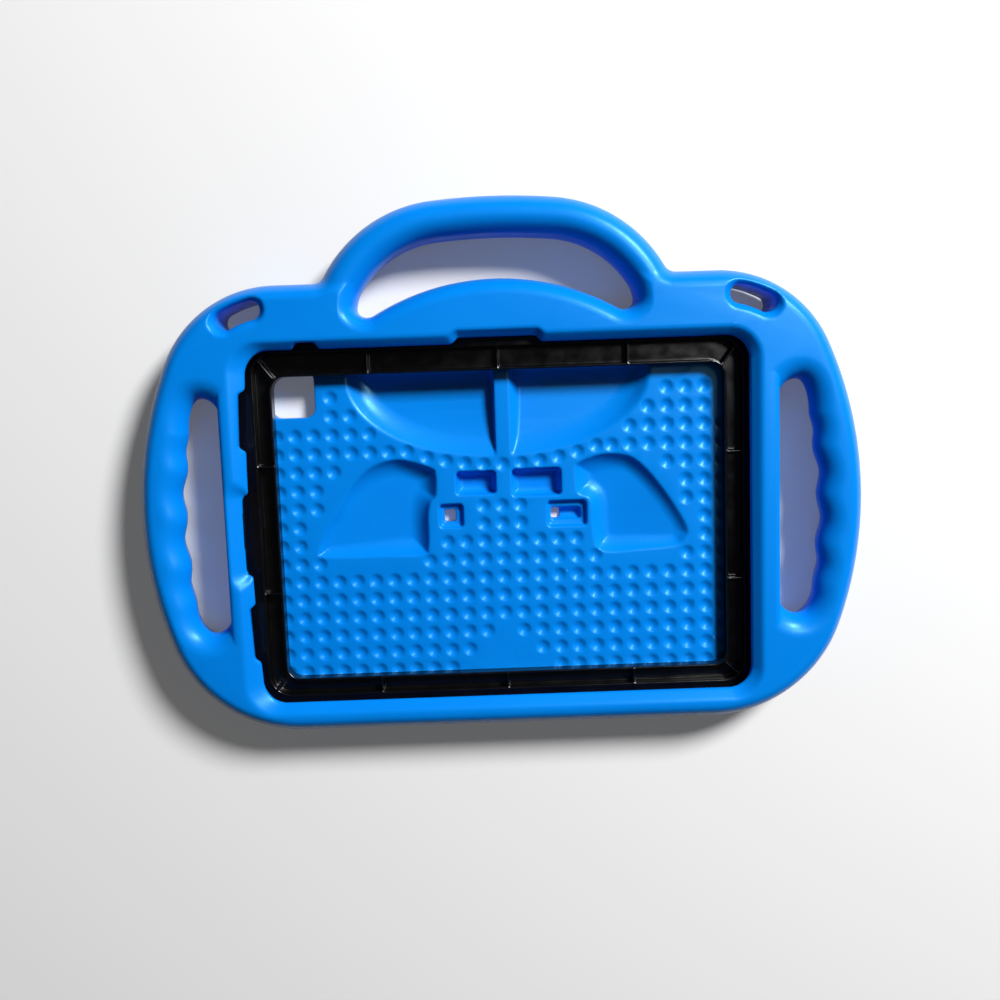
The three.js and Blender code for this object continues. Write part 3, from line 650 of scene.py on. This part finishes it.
# Sink and handling haze over patches of some 6 mm make the gloss a little uneven.
haze = add(tree, "ShaderNodeTexNoise", {"Vector": where, "Scale": 1 / 0.006, "Detail": 4.0})
gloss = add(
    tree,
    "ShaderNodeMapRange",
    {"Value": haze.outputs["Fac"], "From Min": 0.3, "From Max": 0.7, "To Min": 0.16, "To Max": 0.26},
)
surface = add(
    tree,
    "ShaderNodeBsdfPrincipled",
    {"Base Color": colour("#060607"), "Roughness": gloss.outputs["Result"], "IOR": 1.53},
)
add(tree, "ShaderNodeOutputMaterial", {"Surface": surface.outputs["BSDF"]})
spacer.data.materials.append(black_abs)
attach(spacer, "root")
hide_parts("inner_frame")

# Floor
#
# A plain white studio floor under the whole case. The camera, and any reflection, sees it nearly white,
# and the case still shades it.
floor_half, floor_z = 4, -0.0004
floor_corners = [
    (side * floor_half, end * floor_half, floor_z) for side, end in ((-1, -1), (1, -1), (1, 1), (-1, 1))
]
floor_mesh = bpy.data.meshes.new("studio_floor")
floor_mesh.from_pydata(floor_corners, [], [(0, 1, 2, 3)])
floor = bpy.data.objects.new("studio_floor", floor_mesh)
bpy.context.scene.collection.objects.link(floor)
white_card, tree = new_material("matt_white_card")
seen = add(tree, "ShaderNodeLightPath", {})
direct = add(
    tree,
    "ShaderNodeMath",
    {0: seen.outputs["Is Camera Ray"], 1: seen.outputs["Is Glossy Ray"]},
    operation="MAXIMUM",
)
direct = add(
    tree,
    "ShaderNodeMath",
    {0: direct.outputs[0], 1: seen.outputs["Is Transmission Ray"]},
    operation="MAXIMUM",
)
# A tenth of what is seen is the card's own white, so the case's shadow stays soft.
own_white = 0.1
share = add(tree, "ShaderNodeMath", {0: direct.outputs[0], 1: own_white}, operation="MULTIPLY")
shade = add(
    tree,
    "ShaderNodeMix",
    {mix_share: direct.outputs[0], mix_first: colour("#5C5C5C"), mix_second: colour("#F4F4F4")},
    data_type="RGBA",
)
card = add(tree, "ShaderNodeBsdfDiffuse", {"Color": shade.outputs[mix_result]})
white = add(tree, "ShaderNodeEmission", {"Color": colour("#FFFFFF"), "Strength": 1.0})
mixed = add(
    tree,
    "ShaderNodeMixShader",
    {0: share.outputs[0], 1: card.outputs["BSDF"], 2: white.outputs["Emission"]},
)
add(tree, "ShaderNodeOutputMaterial", {"Surface": mixed.outputs["Shader"]})
floor_mesh.materials.append(white_card)

# Light
#
# One large soft lamp above the case, to the upper right, a card nearly overhead that only shows as a
# sheen on the top right corner, and a pale room that fills the shadows.
def lamp(name, size, energy, place):
    light = bpy.data.lights.new(name, "AREA")
    light.shape = "DISK"
    light.size = size
    light.energy = energy
    made = bpy.data.objects.new(name, light)
    made.location = place
    made.rotation_euler = made.location.to_track_quat("Z", "Y").to_euler()
    bpy.context.scene.collection.objects.link(made)
    return made


lamp("key_lamp", size=0.54, energy=62, place=(1.105, 1.105, 1.265))
sheen_card = lamp("sheen_card", size=0.28, energy=7, place=(0.54, 0.36, 1.12))
sheen_card.visible_diffuse = False

room = bpy.data.worlds.new("pale_room")
room.use_nodes = True
room.node_tree.nodes.clear()
fill = add(room.node_tree, "ShaderNodeBackground", {"Color": colour("#FFFFFF"), "Strength": 0.03})
add(room.node_tree, "ShaderNodeOutputWorld", {"Surface": fill.outputs["Background"]})
bpy.context.scene.world = room

# Camera
#
# It looks almost straight down at the case from half a metre, with a wide lens, leaning back a little.
view = bpy.data.cameras.new("camera")
view.lens = 36
view.sensor_width = 36
view.clip_start = 0.01
camera = bpy.data.objects.new("camera", view)
camera.location = (-0.0019, 0.03815, 0.5005)
camera.rotation_mode = "ZYX"
camera.rotation_euler = (-0.1129, -0.002, -0.0351)
bpy.context.scene.collection.objects.link(camera)
bpy.context.scene.camera = camera
bpy.context.scene.view_settings.view_transform = "Standard"
